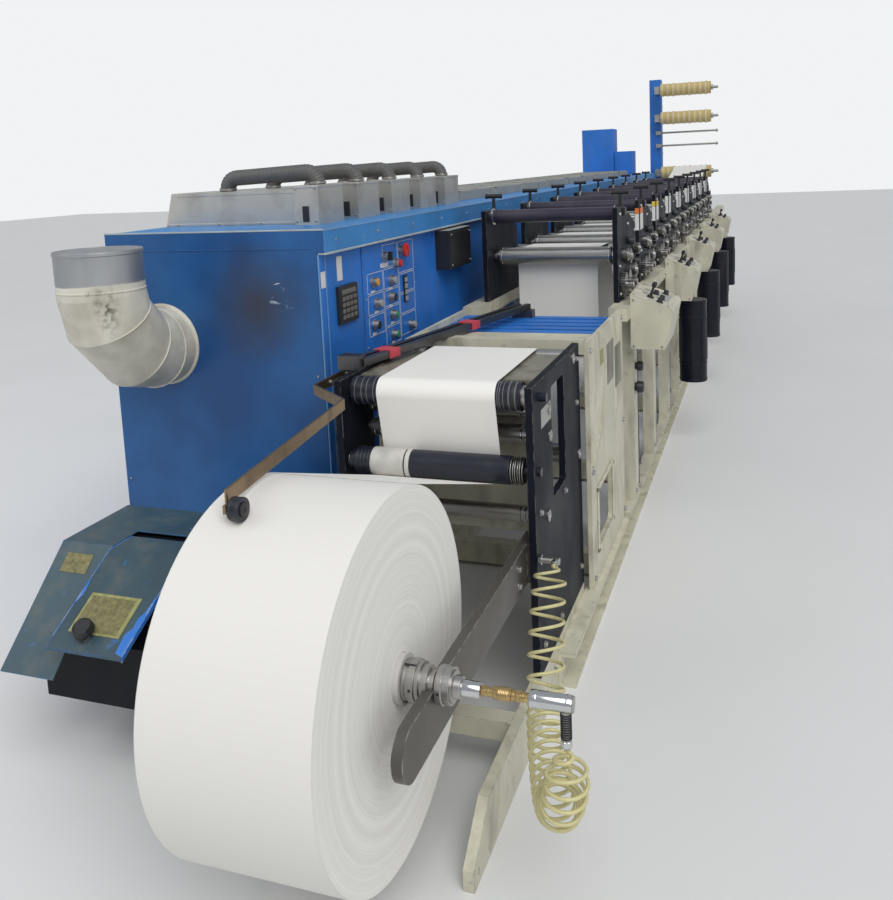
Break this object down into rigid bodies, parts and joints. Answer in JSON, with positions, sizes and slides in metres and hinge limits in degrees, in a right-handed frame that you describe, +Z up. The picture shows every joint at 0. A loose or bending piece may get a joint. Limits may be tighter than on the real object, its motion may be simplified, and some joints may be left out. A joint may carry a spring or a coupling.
{
  "type": "flexographic label press",
  "caption": "Narrow-web flexographic label press with nine print stations, paper supply roll, blue control cabinet and rewind tower.",
  "frame": {"origin": "middle of the press's footprint on the floor", "axes": "+X to the operator side, +Y along the press from the supply roll to the rewind end, +Z up"},
  "size_m": [1.668, 9.4839, 2.29],
  "materials": {
    "beige_paint": "satin",
    "dark_steel": "satin",
    "bare_steel": "satin",
    "chrome": "polished",
    "black_roller": "satin",
    "blue_paint": "satin",
    "cap_blue": "satin",
    "galvanised": "satin",
    "stainless": "satin",
    "paper": "matt",
    "cardboard": "matt",
    "follower_bar": "satin",
    "black_plastic": "matt",
    "guard_blue": "satin",
    "brass_fitting": "polished",
    "light_tray": "satin",
    "plate_rubber": "satin",
    "air_hose": "gloss"
  },
  "bodies": {
    "root": {"base_rails": "beige_paint", "base_ties": "beige_paint", "unwind_toes": "beige_paint", "crossbar": "beige_paint", "infeed_plates": "dark_steel", "cradle_arms": "bare_steel", "infeed_idlers": "bare_steel", "infeed_table": "beige_paint", "infeed_back_panel": "beige_paint", "frame_crossbars": "beige_paint", "blue_slats": "blue_paint", "guide_bar": "dark_steel", "frame_panels": "beige_paint", "top_beams": "beige_paint", "columns": "beige_paint", "cabinet_ties": "blue_paint", "station_plates_operator": "dark_steel", "station_plates_gear": "dark_steel", "cross_tubes": "bare_steel", "idler_rollers": "chrome", "impression_cylinders": "bare_steel", "plate_cylinders": "plate_rubber", "anilox_rollers": "chrome", "bearing_blocks": "bare_steel", "adjuster_stems": "black_plastic", "drive_gears": "bare_steel", "web": "paper", "console_boxes": "beige_paint", "control_knobs": "black_plastic", "drums": "dark_steel", "lead_screws": "dark_steel", "cabinet_plinth": "dark_steel", "cabinet_body": "blue_paint", "cabinet_cap": "cap_blue", "control_panel": "blue_paint", "cabinet_boxes": "black_plastic", "push_buttons": "black_plastic", "blower_housings": "stainless", "blower_hoses": "dark_steel", "top_trays": "light_tray", "exhaust_elbow": "galvanised", "guard_body": "dark_steel", "guard_cover": "guard_blue", "tower_column": "blue_paint", "tower_shafts": "bare_steel", "rewind_cores": "cardboard", "tower_boxes": "blue_paint", "hose_fittings": "brass_fitting", "air_hose": "air_hose", "follower_pivot": "bare_steel"},
    "supply_roll": {"paper_roll": "paper", "roll_core": "cardboard", "roll_shaft": "bare_steel", "quick_coupler": "brass_fitting"},
    "top_roller": {"top_roller": "black_roller"},
    "lower_roller": {"lower_roller": "black_roller"},
    "follower": {"follower_arm": "follower_bar", "wheel_bracket": "bare_steel"},
    "follower_wheel": {"follower_wheel": "black_roller"}
  },
  "joints": [
    {"name": "roll_spin", "type": "hinge", "parent": "root", "child": "supply_roll", "pos_m": [0.311, -4.378, 0.487], "axis": [1, 0, 0], "continuous": true},
    {"name": "top_roller_spin", "type": "hinge", "parent": "root", "child": "top_roller", "pos_m": [0.311, -3.656, 0.859], "axis": [1, 0, 0], "continuous": true},
    {"name": "lower_roller_spin", "type": "hinge", "parent": "root", "child": "lower_roller", "pos_m": [0.311, -3.694, 0.674], "axis": [1, 0, 0], "continuous": true},
    {"name": "follower_swing", "type": "hinge", "parent": "root", "child": "follower", "pos_m": [-0.019, -3.478, 0.873], "axis": [-1, 0, 0], "range_deg": [0, 35]},
    {"name": "wheel_spin", "type": "hinge", "parent": "follower", "child": "follower_wheel", "pos_m": [0.228, -4.506, 0.85158], "axis": [1, 0, 0], "continuous": true}
  ]
}
